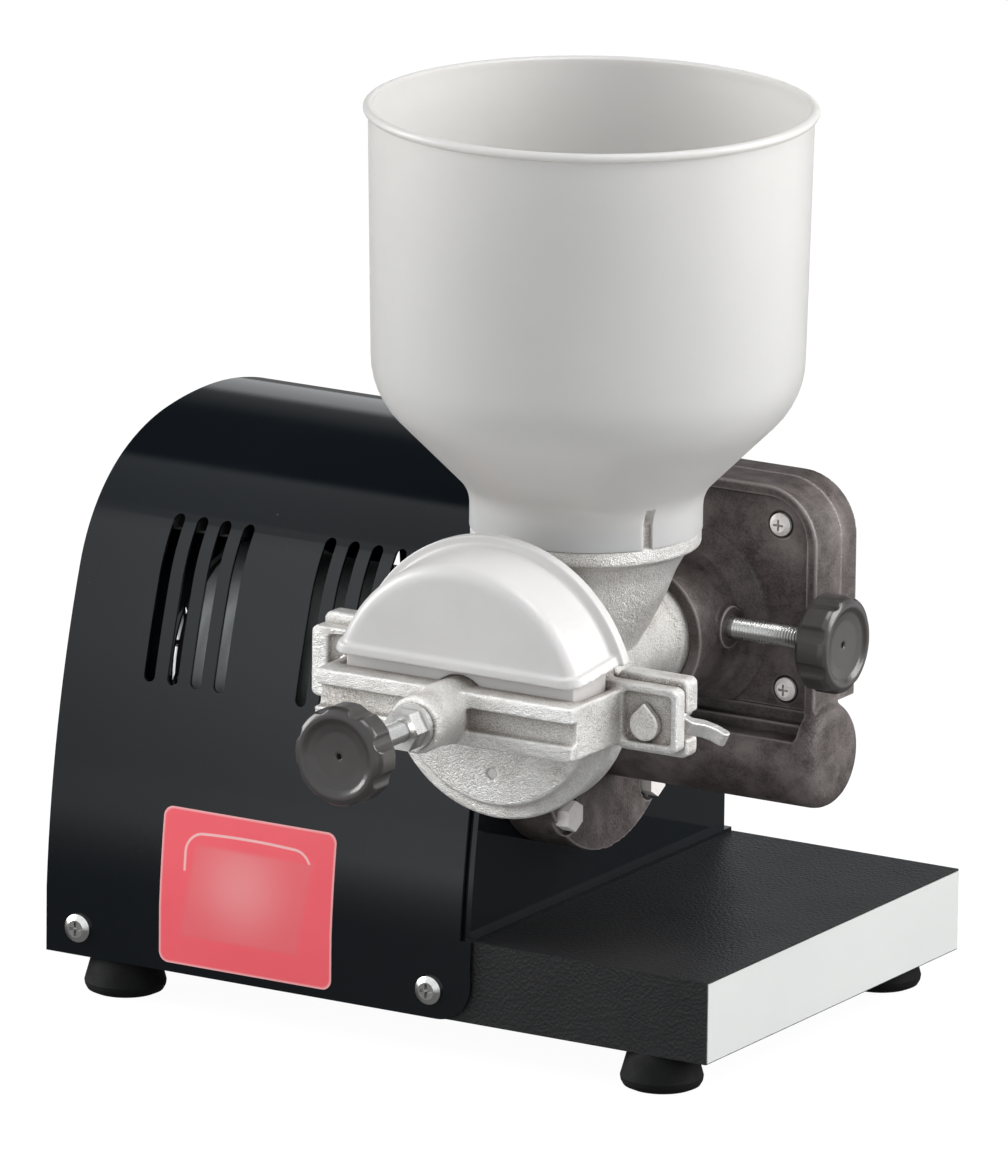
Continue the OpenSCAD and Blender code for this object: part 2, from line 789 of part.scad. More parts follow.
// Outline of the gearbox block seen from the front, with its two upper corners rounded.
module block_outline(low) {
    difference() {
        round_box(block_left, low - block_corner, block_end, block_top, block_corner);
        translate([block_left - 1, low - block_corner - 1])
            square([block_end - block_left + 2, block_corner + 1]);
    }
}

module cover_outline(gap) {
    difference() {
        round_box(mill_x - cover_left - gap, mill_z - cover_down - cover_corner,
            mill_x + cover_side + gap, mill_z + cover_up + gap, cover_corner + gap);
        translate([mill_x - 100, mill_z - cover_down - gap - 100]) square([200, 100]);
    }
}

module cover_screw_holes(y, r, length) {
    for (s = [-1, 1], place = cover_screw_places)
        rod_forward(mill_x + s * place[0], y, mill_z + place[1], r, length);
}

module gearbox_housing() {
    end_round = 9;
    cavity_back = motor_y + wheel_w / 2 + 2.4;
    color([0.29, 0.25, 0.25]) difference() {
        union() {
            rod_x(plate_x, motor_y, motor_z, flange_r, flange_t);
            rod_x(plate_x, motor_y, motor_z, barrel_r, barrel_end - end_round - plate_x);
            translate([barrel_end - end_round - tiny, motor_y, motor_z]) rotate([0, 90, 0])
                rotate_extrude() polygon(concat([[0, 0]],
                    arc_points(barrel_r - end_round, 0, end_round, 0, 90, 5), [[0, end_round]]));
            forward(parting_y, parting_y - rim_y) block_outline(block_low);
        }
        rod_x(plate_x - 1, motor_y, motor_z, pilot_r, flange_t - 7);
        rod_x(plate_x - 1, motor_y, motor_z, tunnel_r, barrel_end - plate_x - 19);
        rod_x(plate_x + 10, motor_y, motor_z, worm_bearing_r, barrel_end - plate_x - 16.5);
        forward(cavity_back, cavity_back - cover_y - cover_t) translate([mill_x, mill_z])
            circle(wheel_r + wheel_room);
        rod_forward(mill_x, parting_y + 1, mill_z, out_bearing_r, 10);
        forward(cover_y + cover_t, 40) cover_outline(0.2);
        translate([mill_x - cover_left + 6, rim_y - 20, mill_z - recess_step])
            cube([cover_left + cover_side - 4, cover_y + 0.7 - rim_y + 20,
                recess_step - cover_down]);
        translate([mill_x - cover_left + 6, rim_y - 19, mill_z - recess_down])
            cube([cover_left + cover_side - 4, 20, recess_down - recess_step + tiny]);
        flange_holes(plate_x - 1, flange_t + 2);
        for (a = [45:90:315]) rod_x(flange_x - 3, motor_y + flange_circle * cos(a),
            motor_z + flange_circle * sin(a), 9.5, 40);
        cover_screw_holes(cover_y + 12, 2.6, 20);
    }
}

module gearbox_back_cover() {
    color([0.3, 0.26, 0.26]) difference() {
        union() {
            forward(back_y, back_y - parting_y) intersection() {
                block_outline(block_low);
                translate([0, back_low]) square([400, 400]);
            }
            rod_forward(mill_x, back_y + 3, mill_z, 24, 4);
        }
        rod_x(plate_x - 1, motor_y, motor_z, flange_r + 0.4, flange_t + 1.4);
        rod_forward(mill_x, parting_y + 0.5, mill_z, out_bearing_r, 10);
        rod_forward(mill_x, parting_y + 3, mill_z, out_r + 1, 10);
    }
}

module gearbox_front_cover() {
    face = cover_y + cover_t;
    color([0.27, 0.23, 0.23]) difference() {
        union() {
            forward(face, cover_t) cover_outline(0);
            intersection() {
                turned(face - 1) polygon([[0, 0], [46, 0], [46, cover_t], [40.5, cover_t + 3],
                    [36.5, cover_t + 8], [collar_r + 0.9, cover_t + 14],
                    [collar_r + 0.5, face - collar_y - 4],
                    [collar_r, face - collar_y - 1], [0, face - collar_y - 1]]);
                forward(face, 100) cover_outline(-0.3);
            }
            rod_x(mill_x + spigot_r + 3, lock_y, lock_z, lock_boss_r,
                lock_boss - spigot_r - 3);
        }
        rod_forward(mill_x, seat_y, mill_z, spigot_r + spigot_gap, 60);
        rod_forward(mill_x, 0, mill_z, out_r + 0.5, 100);
        rod_forward(mill_x, 0, mill_z, out_bearing_r, bearing_front);
        rod_forward(mill_x, 0, mill_z, seal_r, bearing_front + seal_w);
        rod_x(mill_x + 20, lock_y, lock_z, screw_r + screw_gap, 30);
        cover_screw_holes(face + 3, 2.6, 20);
        cover_screw_holes(cover_y + screw_ring_depth, screw_ring_r, 4);
    }
}

module gearbox_cover_screws() {
    color([0.72, 0.7, 0.66]) for (s = [-1, 1], place = cover_screw_places)
        translate([mill_x + s * place[0], cover_y + screw_ring_depth, mill_z + place[1]])
            rotate([90, 0, 0]) cross_screw(5.4, 3.4, 2.5, 9);
}

module flange_bolts() {
    color([0.78, 0.77, 0.74]) for (a = [45:90:315])
        translate([flange_x - 3, motor_y + flange_circle * cos(a),
            motor_z + flange_circle * sin(a)]) rotate([0, 90, 0])
            hex_bolt(13, 7, flange_bolt_r, flange_t - 3 + plate_t + 12);
}

module worm_end_bearing() {
    color([0.8, 0.8, 0.82]) tube_x(barrel_end - 19, motor_y, motor_z, worm_bearing_r,
        shaft_r + bush_gap, bearing_w);
}

module wheel_bearings() {
    color([0.8, 0.8, 0.82]) {
        mill_tube(motor_y - wheel_w / 2 - 0.5, out_bearing_r, out_r + bush_gap, out_bearing_w);
        mill_tube(motor_y + wheel_w / 2 + 0.5 + out_bearing_w, out_bearing_r, out_r + bush_gap,
            out_bearing_w);
    }
}

module output_seal() {
    color([0.12, 0.12, 0.12]) mill_tube(motor_y - wheel_w / 2 - 0.5 - out_bearing_w, seal_r,
        out_r + bush_gap, seal_w);
}

module worm_wheel() {
    tooth_w = 2 * PI * wheel_r / wheel_teeth * 0.42;
    color([0.72, 0.6, 0.32]) forward(motor_y + wheel_w / 2, wheel_w)
        translate([mill_x, mill_z]) difference() {
            intersection() {
                union() {
                    circle(wheel_r - tooth_h);
                    for (i = [0:wheel_teeth - 1]) rotate(i * 360 / wheel_teeth)
                        translate([0, -tooth_w / 2]) square([wheel_r, tooth_w]);
                }
                circle(wheel_r);
            }
            circle(out_r);
        }
}

module output_shaft() {
    front = motor_y - wheel_w / 2 - 0.5 - out_bearing_w - seal_w;
    back = motor_y + wheel_w / 2 + 0.5 + out_bearing_w;
    color([0.64, 0.65, 0.68]) difference() {
        rod_forward(mill_x, back, mill_z, out_r, back - front);
        translate([mill_x - socket / 2, front - 1, mill_z - socket / 2])
            cube([socket, 18, socket]);
    }
}

module lock_screw() {
    length = lock_knob_x + knob_d * 0.6 - mill_x - spigot_r - 0.2;
    visible = mill_x + lock_boss - (mill_x + spigot_r + 0.2);
    color([0.82, 0.82, 0.8]) translate([mill_x + spigot_r + 0.2, lock_y, lock_z])
        rotate([0, 90, 0]) threaded_rod(screw_r, length, visible + 2, length - 15, pitch);
}

module lock_knob() {
    color([0.19, 0.17, 0.17]) translate([lock_knob_x, lock_y, lock_z]) rotate([0, 90, 0])
        hand_knob();
}

// Ear beside the mill's axis, from the height low to the height high.
module ear(side, y, t, low, high, inner, outer) {
    left = side > 0 ? mill_x + inner : mill_x - outer;
    right = side > 0 ? mill_x + outer : mill_x - inner;
    forward(y, t) round_box(left, low, right, high, 3.5);
}

module mill_body() {
    ring_z = seat_z - ring_t;
    neck_bore = neck_r - hopper_wall - neck_gap;
    color([0.8, 0.79, 0.76]) difference() {
        union() {
            turned(seat_y - 1) polygon([[0, 0], [spigot_r - 1, 0], [spigot_r, 1],
                [spigot_r, spigot_l], [tube_r + 1, spigot_l + 2], [tube_r, spigot_l + 7],
                [tube_r, chamber_back - 8], [tube_r + 4, chamber_back - 4], [40, chamber_back],
                [body_r - 2, chamber_back + 4.5], [body_r, chamber_back + 7],
                [body_r, seat_y - 1 - body_front], [0, seat_y - 1 - body_front]]);
            translate([mill_x, hopper_y, mill_z]) rotate_extrude() polygon([[0, 3], [22, 3],
                [30, 16], [37.5, 31], [42, 43], [47, ring_z - mill_z - 3],
                [neck_r - 0.5, ring_z - mill_z], [neck_r - 0.5, seat_z - mill_z],
                [neck_bore, seat_z - mill_z], [neck_bore, seat_z - mill_z + ring_up],
                [0, seat_z - mill_z + ring_up]]);
            for (s = [-1, 1]) {
                ear(s, ear_y + ear_t, ear_t, mill_z - body_ear_h / 2,
                    mill_z + body_ear_h / 2 + (s > 0 ? 0 : left_ear_up), yoke_r + 1,
                    ear_out + (s > 0 ? 1 : -2));
                ear(s, ear_y + ear_t, ear_y + ear_t - body_front, mill_z - body_ear_h / 2 + 4,
                    mill_z + body_ear_h / 2 - 4, body_r - 6, yoke_r + 6);
            }
        }
        translate([mill_x, hopper_y, mill_z]) rotate_extrude() polygon([[0, 0], [bore_r - 3, 0],
            [bore_r - 3, 10], [26, 17], [33.5, 32], [38, 44], [43, ring_z - mill_z - 2],
            [46.5, seat_z - mill_z], [46.5, seat_z - mill_z + ring_up + 1],
            [0, seat_z - mill_z + ring_up + 1]]);
        rod_forward(mill_x, hopper_y + 34, mill_z, bore_r, 200);
        rod_forward(mill_x, 0, mill_z, bush_r, 400);
        rod_forward(mill_x, chamber_y, mill_z, carrier_r + 3, 100);
        rod_forward(mill_x, disc_back + 1.5, mill_z, chamber_r, 100);
        translate([mill_x - outlet_w / 2, body_front - 20, mill_z - body_r - 5])
            cube([outlet_w, 20 + disc_back + 1.5 - body_front, body_r]);
        for (s = [-1, 1]) {
            translate([s > 0 ? mill_x + bolt_reach : mill_x - bolt_reach - 40, ear_y - 40,
                bolt_z - fork_h / 2]) cube([40, 40 + ear_t + 1, fork_h]);
            rod_forward(mill_x + s * bolt_reach, ear_y + ear_t + 1, bolt_z, fork_h / 2,
                ear_t + 20);
        }
    }
}

module barrel_bush() {
    color([0.7, 0.52, 0.25]) mill_tube(seat_y - 4, bush_r, shaft_end_r + bush_gap,
        seat_y - 4 - hopper_y - 35);
}

module auger_shaft() {
    flight_front = chamber_y + 2;
    flight_back = hopper_y + 32;
    color([0.7, 0.7, 0.7]) {
        difference() {
            rod_forward(mill_x, seat_y - 2, mill_z, shaft_end_r, seat_y - 2 - (grind_y - 8));
            rod_forward(mill_x, ball_y + ball_r, mill_z, ball_r + 0.1, 10);
        }
        translate([mill_x - tang / 2, seat_y - 2 - tiny, mill_z - tang / 2])
            cube([tang, 16, tang]);
        translate([mill_x, flight_back, mill_z]) rotate([90, 0, 0])
            linear_extrude(flight_back - flight_front, twist = 720, slices = 48, $fn = 24)
                intersection() {
                    circle(auger_r);
                    translate([2, -2]) square([auger_r, 4]);
                }
        mill_tube(chamber_y - 1.5, carrier_r, shaft_end_r - tiny, chamber_y - 1.5 - disc_back);
    }
}

module rotating_disc() {
    color([0.6, 0.6, 0.6]) difference() {
        mill_tube(disc_back, disc_r, shaft_end_r + bush_gap, disc_t);
        grooves(grind_y + disc_gap / 2 + 1.5);
    }
}

module grooves(y) {
    for (i = [0:11]) forward(y, 3) translate([mill_x, mill_z]) rotate(i * 30)
        translate([24, -1]) square([disc_r, 2]);
}

module thrust_ball() {
    color([0.85, 0.85, 0.87]) translate([mill_x, ball_y, mill_z]) sphere(r = ball_r);
}

module yoke() {
    color([0.82, 0.81, 0.78]) difference() {
        union() {
            turned(yoke_rear) polygon([[0, 0], [yoke_r, 0], [yoke_r, yoke_rear - yoke_rim - 1],
                [yoke_r - 1, yoke_rear - yoke_rim], [yoke_face_r + 1, yoke_rear - yoke_rim],
                [yoke_face_r, yoke_rear - yoke_face], [0, yoke_rear - yoke_face]]);
            turned(yoke_face + 1) polygon([[0, 0], [boss_r, 0], [boss_r, yoke_face + 1 - bar_y],
                [boss_r - 1.5, yoke_face + 1 - bar_y + 8], [boss_tip_r + 1, yoke_face + 1
                - boss_y - 2], [boss_tip_r, yoke_face + 1 - boss_y], [0, yoke_face + 1 - boss_y]]);
            forward(bar_y + bar_t, bar_t) round_box(mill_x - bar_half, bar_low,
                mill_x + bar_half, bar_low + bar_h, 2);
            for (s = [-1, 1]) {
                ear(s, ear_y, ear_y - yoke_face, mill_z - yoke_ear_h / 2, yoke_ear_top(s),
                    yoke_face_r, ear_out);
                arm(s);
            }
            translate([mill_x - bar_half, bar_y + 2, shelf_z - shelf_t])
                cube([2 * bar_half, yoke_face - bar_y, shelf_t]);
        }
        for (s = [-1, 1]) {
            translate([s > 0 ? mill_x + channel_start : mill_x - bar_half - 1,
                bar_y - 1, bar_low + (bar_h - channel_h) / 2])
                cube([bar_half - channel_start + 1, channel_depth + 1, channel_h]);
            rod_forward(mill_x + s * bolt_reach, 0, bolt_z, bolt_r + 0.3, 400);
            forward(yoke_face + tray_depth, 10) round_box(tray_low(s), mill_z - yoke_ear_h / 2
                + tray_rim, tray_low(s) + ear_out - bar_half - tray_outer(s) - 1,
                yoke_ear_top(s) - tray_rim, 2);
        }
        rod_forward(mill_x, 0, mill_z, screw_r + screw_gap, 600);
        rod_forward(mill_x, yoke_rear + 1, mill_z, shaft_end_r + 0.5, yoke_rear + 1 - hub_y);
        disc_screw_rods(0, -yoke_face + 2);
    }
}

// The left ear reaches a little higher than the right one, and its tray has a wider outer rim.
function yoke_ear_top(side) = mill_z + yoke_ear_h / 2 + (side > 0 ? 0 : left_ear_up - 1.5);
function tray_outer(side) = side > 0 ? tray_rim : 2.5 * tray_rim;
function tray_low(side) = side > 0 ? mill_x + bar_half + 1 : mill_x - ear_out + tray_outer(side);

module disc_screw_rods(y, length) {
    for (a = disc_screw_angles) rod_forward(mill_x + disc_screw_out * cos(a), y,
        mill_z + disc_screw_out * sin(a), disc_screw_r, length);
}

module arm(side) {
    outer = mill_x + side * bar_half;
    translate([side > 0 ? outer - arm_t : outer, bar_y + 1, bar_low])
        cube([arm_t, ear_y - bar_y - 1, bar_h]);
}

module fixed_disc() {
    color([0.6, 0.6, 0.6]) difference() {
        mill_tube(grind_y - disc_gap / 2, disc_r, 16, yoke_rear - grind_y + 2 * disc_t
            + disc_gap / 2);
        forward(yoke_rear, 50) translate([mill_x, mill_z]) circle(disc_r + 5);
        grooves(grind_y + 1);
        disc_screw_rods(0, 400);
    }
}

module disc_screws() {
    rear = grind_y - disc_gap / 2 - 1.8;
    color([0.7, 0.7, 0.72]) disc_screw_rods(rear, rear - yoke_face - 1);
}

module clamp_bolts() {
    head_t = 4;
    head_y = yoke_face + tray_depth;
    bolt_end = ear_y + ear_t + 21;
    color([0.8, 0.79, 0.76]) for (s = [-1, 1]) {
        rod_forward(mill_x + s * bolt_reach, bolt_end, bolt_z, bolt_r, bolt_end - head_y + tiny);
        forward(head_y, head_t) translate([mill_x + s * bolt_reach, bolt_z]) {
            circle(head_r);
            polygon([[-head_r * 0.83, head_r * 0.56], [0, head_tip],
                [head_r * 0.83, head_r * 0.56]]);
        }
    }
}

module clamp_washer(side) {
    color([0.78, 0.78, 0.78]) tube_forward(mill_x + side * bolt_reach,
        ear_y + ear_t + washer_t + 0.05, bolt_z, washer_r, bolt_r + 0.1, washer_t);
}

module left_washer() {
    clamp_washer(-1);
}

module right_washer() {
    clamp_washer(1);
}

// Row of discs of radius r joined by bars that are a little narrower than the discs.
module wing_outline(points, r) {
    bar_r = r - 0.04;
    for (p = points) translate(p) circle(r);
    for (i = [1:len(points) - 1]) {
        d = points[i] - points[i - 1];
        translate(points[i - 1]) rotate(atan2(d[1], d[0])) translate([0, -bar_r])
            square([norm(d), 2 * bar_r]);
    }
}

module wing_nut(side) {
    boss_l = 10;
    wing_t = 2.7;
    wing_h = 3.4;
    color([0.84, 0.83, 0.8]) translate([mill_x + side * bolt_reach,
        ear_y + ear_t + washer_t + 0.1, bolt_z]) rotate([-90, side * wing_turn, 0]) difference() {
            union() {
                cylinder(r1 = 8, r2 = 6.4, h = boss_l);
                for (d = [0, 180]) rotate(d) rotate([90, 0, 0]) translate([0, 0, -wing_h])
                    linear_extrude(2 * wing_h) wing_outline([[5.4, 5.6], [10.4, 6.3],
                        [14.7, 12.1], [19.1, 14.9], [wing_reach - wing_t, 15.8]], wing_t);
            }
            translate([0, 0, -20]) cylinder(r = bolt_r + 0.1, h = 60);
        }
}

module left_wing_nut() {
    wing_nut(-1);
}

module right_wing_nut() {
    wing_nut(1);
}

module adjusting_screw() {
    length = tip_y - knob_face_y - knob_d * 0.4;
    color([0.82, 0.82, 0.8]) translate([mill_x, tip_y, mill_z]) rotate([90, 0, 0])
        threaded_rod(screw_r, length, tip_y - boss_y + 1, length - knob_d * 0.6 - 1, pitch);
}

module lock_nut() {
    color([0.83, 0.82, 0.78]) translate([mill_x, boss_y - nut_play, mill_z]) rotate([90, 0, 0])
        difference() {
            union() {
                cylinder(r = nut_flange_r, h = 3);
                translate([0, 0, 3 - tiny]) cylinder(r = nut_af / sqrt(3), h = nut_t - 3, $fn = 6);
            }
            translate([0, 0, -1]) cylinder(r = screw_r + screw_gap, h = nut_t + 2);
        }
}

module adjusting_knob() {
    color([0.17, 0.17, 0.17]) translate([mill_x, knob_face_y + knob_d, mill_z])
        rotate([90, 0, 0]) hand_knob();
}

// Hood turned about the mill's axis, grown by grow, its front edge rounded by an arc.
module guard_hood(grow, edge, back = 0) {
    front = guard_rear - guard_front + grow;
    rear_r = guard_r + guard_flare + grow;
    turned(guard_rear) polygon(concat([[0, -back], [rear_r, -back]],
        arc_points(guard_r + grow - edge, front - edge, edge, 0, 90, 6), [[0, front]]));
}

// Slab of a given height that starts drop below the guard's foot.
module guard_foot_slab(drop, height) {
    translate([mill_x, guard_front, mill_z + guard_low]) rotate([guard_tilt, 0, 0])
        translate([-150, -50, -drop]) cube([300, 200, height]);
}

module flour_guard() {
    skirt_front = bar_y + bar_t + 0.4;
    color([0.9, 0.9, 0.89]) {
        difference() {
            union() {
                guard_hood(0, guard_edge);
                turned(guard_rear) square([guard_rear_r, 6]);
                intersection() {
                    guard_hood(guard_lip, guard_edge + guard_lip);
                    guard_foot_slab(0, guard_lip_h);
                }
            }
            guard_hood(-guard_t, guard_edge - guard_t, 1);
            guard_foot_slab(300, 300);
        }
        intersection() {
            guard_hood(-0.5, guard_edge);
            translate([mill_x - guard_r, guard_front + tiny, mill_z + guard_low + 1])
                cube([2 * guard_r, skirt_front - guard_front + guard_t, guard_t]);
        }
        difference() {
            translate([mill_x - skirt_half, skirt_front, shelf_z]) cube([2 * skirt_half,
                yoke_face - 0.6 - skirt_front, mill_z + guard_low + guard_edge - 1 - shelf_z]);
            translate([mill_x - skirt_half + guard_t, skirt_front + guard_t, shelf_z - 1])
                cube([2 * skirt_half - 2 * guard_t, 100, 50]);
            rod_forward(mill_x, 0, mill_z, boss_r + 0.6, 400);
        }
    }
}

// Hopper profile down the outside: wall, shoulder arc, cone at 45 degrees, fillet, neck.
function hopper_outside(inset) = concat(
    [[hopper_r - 2.2 - inset, hopper_h - 1], [wall_foot_r - inset, wall_foot_h]],
    arc_points(wall_foot_r - shoulder_arc, wall_foot_h, shoulder_arc - inset, 0, -45, 6),
    arc_points(neck_r + neck_fillet, neck_h, neck_fillet + inset, 135, 180, 5),
    [[neck_r - inset, 0]]);

module hopper() {
    bead_r = 2.2;
    outside = hopper_outside(0);
    inside = hopper_outside(hopper_wall);
    last = len(inside) - 1;
    color([0.93, 0.92, 0.9, 0.75]) translate([mill_x, hopper_y, seat_z]) {
        difference() {
            rotate_extrude() {
                polygon(concat([for (i = [last:-1:0]) outside[i]], inside));
                translate([hopper_r - bead_r, hopper_h - bead_r]) circle(bead_r);
            }
            translate([0, 0, -1]) rotate(notch_angle) translate([40, -2.6, 0]) cube([20, 5.2, 20]);
        }
    }
}

base_tray();
end_strip();
rubber_feet();
foot_screws();
motor_cover();
cover_screws();
front_sticker();
gearbox_end_plate();
left_end_panel();
fan_shroud();
fan_guard();
fan_guard_screws();
switch_housing();
rocker_switch();
cord_inlet();
stator_core();
stator_winding();
front_end_bell();
rear_end_bell();
motor_tie_bolts();
front_motor_bearing();
rear_motor_bearing();
run_capacitor();
capacitor_clip();
rotor_core();
worm_shaft();
cooling_fan();
gearbox_housing();
gearbox_back_cover();
gearbox_front_cover();
gearbox_cover_screws();
flange_bolts();
worm_end_bearing();
wheel_bearings();
output_seal();
worm_wheel();
output_shaft();
lock_screw();
lock_knob();
mill_body();
barrel_bush();
auger_shaft();
rotating_disc();
thrust_ball();
yoke();
fixed_disc();
disc_screws();
clamp_bolts();
left_washer();
right_washer();
left_wing_nut();
right_wing_nut();
adjusting_screw();
lock_nut();
adjusting_knob();
flour_guard();
hopper();
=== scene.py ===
"""Looks of a bench-top electric grain mill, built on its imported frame. Units are metres."""

import math

import bpy
from mathutils import Matrix, Vector

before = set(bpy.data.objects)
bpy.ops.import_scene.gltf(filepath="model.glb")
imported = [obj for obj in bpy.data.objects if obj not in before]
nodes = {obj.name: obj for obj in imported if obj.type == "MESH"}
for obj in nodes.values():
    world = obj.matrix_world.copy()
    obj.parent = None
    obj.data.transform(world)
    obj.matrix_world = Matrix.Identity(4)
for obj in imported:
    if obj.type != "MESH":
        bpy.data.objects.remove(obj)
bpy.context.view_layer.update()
MM = 0.001
BLACK, WHITE = (0.0, 0.0, 0.0), (1.0, 1.0, 1.0)

# ---------------------------------------------------------------- camera

AZIMUTH, ELEVATION, ROLL = (math.radians(a) for a in (30.86, 14.42, 0.69))
VIEW_DISTANCE = 7.249
VIEW_SHIFT_RIGHT, VIEW_SHIFT_UP = 0.0030, 0.0133
AIM = Vector((0, -0.00975, 0.1885))
FOCAL_LENGTH, SENSOR_WIDTH = 481.4, 36
NEAREST, FARTHEST = 0.1, 60


def make_camera():
    right = Vector((math.cos(AZIMUTH), math.sin(AZIMUTH), 0))
    back = Vector((math.sin(AZIMUTH) * math.cos(ELEVATION),
                   -math.cos(AZIMUTH) * math.cos(ELEVATION), math.sin(ELEVATION)))
    up = back.cross(right)
    place = AIM + back * VIEW_DISTANCE + right * VIEW_SHIFT_RIGHT + up * VIEW_SHIFT_UP
    turned_right = right * math.cos(ROLL) + up * math.sin(ROLL)
    turned_up = up * math.cos(ROLL) - right * math.sin(ROLL)
    camera = bpy.data.objects.new("camera", bpy.data.cameras.new("camera"))
    bpy.context.scene.collection.objects.link(camera)
    camera.matrix_world = Matrix((
        (turned_right.x, turned_up.x, back.x, place.x),
        (turned_right.y, turned_up.y, back.y, place.y),
        (turned_right.z, turned_up.z, back.z, place.z),
        (0, 0, 0, 1)))
    camera.data.sensor_width = SENSOR_WIDTH
    camera.data.lens = FOCAL_LENGTH
    camera.data.clip_start = NEAREST
    camera.data.clip_end = FARTHEST
    bpy.context.scene.camera = camera


make_camera()

# ---------------------------------------------------------------- shader maths


class Value:
    """A number that varies over a surface. Arithmetic on it adds Math nodes."""

    def __init__(self, finish, socket):
        self.finish, self.socket = finish, socket

    def maths(self, operation, *inputs):
        return self.finish.add("ShaderNodeMath", {"operation": operation},
                               dict(enumerate(inputs)))[0]

    def __add__(self, other):
        return self.maths("ADD", self, other)

    __radd__ = __add__

    def __sub__(self, other):
        return self.maths("SUBTRACT", self, other)

    def __rsub__(self, other):
        return self.maths("SUBTRACT", other, self)

    def __mul__(self, other):
        return self.maths("MULTIPLY", self, other)

    __rmul__ = __mul__

    def __neg__(self):
        return self * -1

    def __pow__(self, other):
        return self.maths("POWER", self, other)

    def __abs__(self):
        return self.maths("ABSOLUTE", self)

    def above(self, low, high):
        """0 below low, 1 above high, and a smooth step between them."""
        return self.finish.add("ShaderNodeMapRange", {"interpolation_type": "SMOOTHSTEP"},
                               {"Value": self, "From Min": low, "From Max": high})["Result"]

    def at_least(self, other):
        return self.maths("MAXIMUM", self, other)

    def at_most(self, other):
        return self.maths("MINIMUM", self, other)


def length(across, up):
    """Length of the slanting line that runs so far across and so far up."""
    return (across * across + up * up) ** 0.5


class Added:
    """A node whose outputs are read by name or number."""

    def __init__(self, finish, node):
        self.finish, self.node = finish, node

    def __getitem__(self, key):
        return Value(self.finish, self.node.outputs[key])


class Finish:
    """A procedural material, or the world, that is built from expressions."""

    def __init__(self, name, world=False):
        self.data = bpy.data.worlds.new(name) if world else bpy.data.materials.new(name)
        self.data.use_nodes = True
        self.tree = self.data.node_tree
        self.tree.nodes.clear()
        self.output = self.tree.nodes.new(
            "ShaderNodeOutputWorld" if world else "ShaderNodeOutputMaterial")
        self.where = self.add("ShaderNodeTexCoord", {}, {})["Generated" if world else "Object"]

    def add(self, kind, settings, sockets):
        """Adds a node. A socket takes a Value, a colour or a plain number."""
        node = self.tree.nodes.new(kind)
        for name, value in settings.items():
            setattr(node, name, value)
        for key, value in sockets.items():
            socket = node.inputs[key]
            if isinstance(value, Value):
                self.tree.links.new(value.socket, socket)
            elif isinstance(value, tuple) and socket.type == "RGBA":
                socket.default_value = (*value, 1)
            else:
                socket.default_value = value
        return Added(self, node)

    def axes(self):
        split = self.add("ShaderNodeSeparateXYZ", {}, {0: self.where})
        return split[0], split[1], split[2]

    def stretched(self, x, y, z):
        """Coordinates in which a pattern is drawn out along the axes with small numbers."""
        return self.add("ShaderNodeVectorMath", {"operation": "MULTIPLY"},
                        {0: self.where, 1: (x, y, z)})[0]

    def noise(self, size, detail=3, rough=0.55, where=None):
        """Cloudy value from 0 to 1 whose features are about size millimetres across."""
        return self.add("ShaderNodeTexNoise", {"noise_dimensions": "3D"},
                        {"Vector": where or self.where, "Scale": 1 / (size * MM),
                         "Detail": detail, "Roughness": rough})["Fac"]

    def grains(self, size):
        """Distance from the nearest grain's centre, for grains of size millimetres."""
        return self.add("ShaderNodeTexVoronoi", {},
                        {"Vector": self.where, "Scale": 1 / (size * MM)})["Distance"]

    def mix(self, amount, first, second):
        mixed = self.add("ShaderNodeMix", {"data_type": "RGBA"}, {0: amount})
        for index, colour in ((6, first), (7, second)):
            if isinstance(colour, Value):
                self.tree.links.new(colour.socket, mixed.node.inputs[index])
            else:
                mixed.node.inputs[index].default_value = (*colour, 1)
        return mixed[2]

    def bump(self, height, depth, strength):
        """Relief of depth millimetres at most."""
        return self.add("ShaderNodeBump", {}, {"Height": height, "Distance": depth * MM,
                                               "Strength": strength})["Normal"]

    def pointiness(self):
        return self.add("ShaderNodeNewGeometry", {}, {})["Pointiness"]

    def edges(self, low=0.52, high=0.62):
        """1 on worn outer edges."""
        return self.pointiness().above(low, high)

    def hollows(self):
        """1 in inner corners, where the castings are darkened as painted shade."""
        return 1 - self.pointiness().above(0.44, 0.495)

    def nooks(self, reach, low=0.2, high=0.9):
        """1 deep in gaps and channels that are up to about reach millimetres wide, read from
        ambient occlusion. The finishes darken there as painted shade.
        """
        open_sky = self.add("ShaderNodeAmbientOcclusion", {"samples": 6},
                            {"Distance": reach * MM})["AO"]
        return 1 - open_sky.above(low, high)

    def surface(self, **sockets):
        """Ends a material in a Principled shader whose sockets are given as keywords."""
        names = {name.replace("_", " ").title().replace("Ior", "IOR"): value
                 for name, value in sockets.items()}
        shader = self.add("ShaderNodeBsdfPrincipled", {}, names)
        self.tree.links.new(shader.node.outputs[0], self.output.inputs[0])
        return self.data


# ---------------------------------------------------------------- finishes


def cover_enamel():
    """Gloss black enamel on smooth sheet, a little duller low on the left."""
    f = Finish("cover_enamel")
    x, _, z = f.axes()
    peel = f.noise(3.5, 2)
    cloud = f.noise(70)
    smear = f.noise(20, 4, where=f.stretched(1, 1, 0.25))
    dust = f.noise(1.1, 1).above(0.74, 0.8) * f.noise(30, 2).above(0.5, 0.7)
    enamel = f.mix(cloud, (0.0035, 0.005, 0.007), (0.006, 0.008, 0.010))
    return f.surface(
        base_color=f.mix(dust * 0.25, enamel, (0.2, 0.2, 0.2)),
        roughness=0.06 + smear * 0.06 + dust * 0.3,
        specular_ior_level=0.34,
        coat_weight=0.36 * (x + z * 0.6).above(-0.14, 0.1),
        normal=f.bump(peel, 0.12, 0.12))


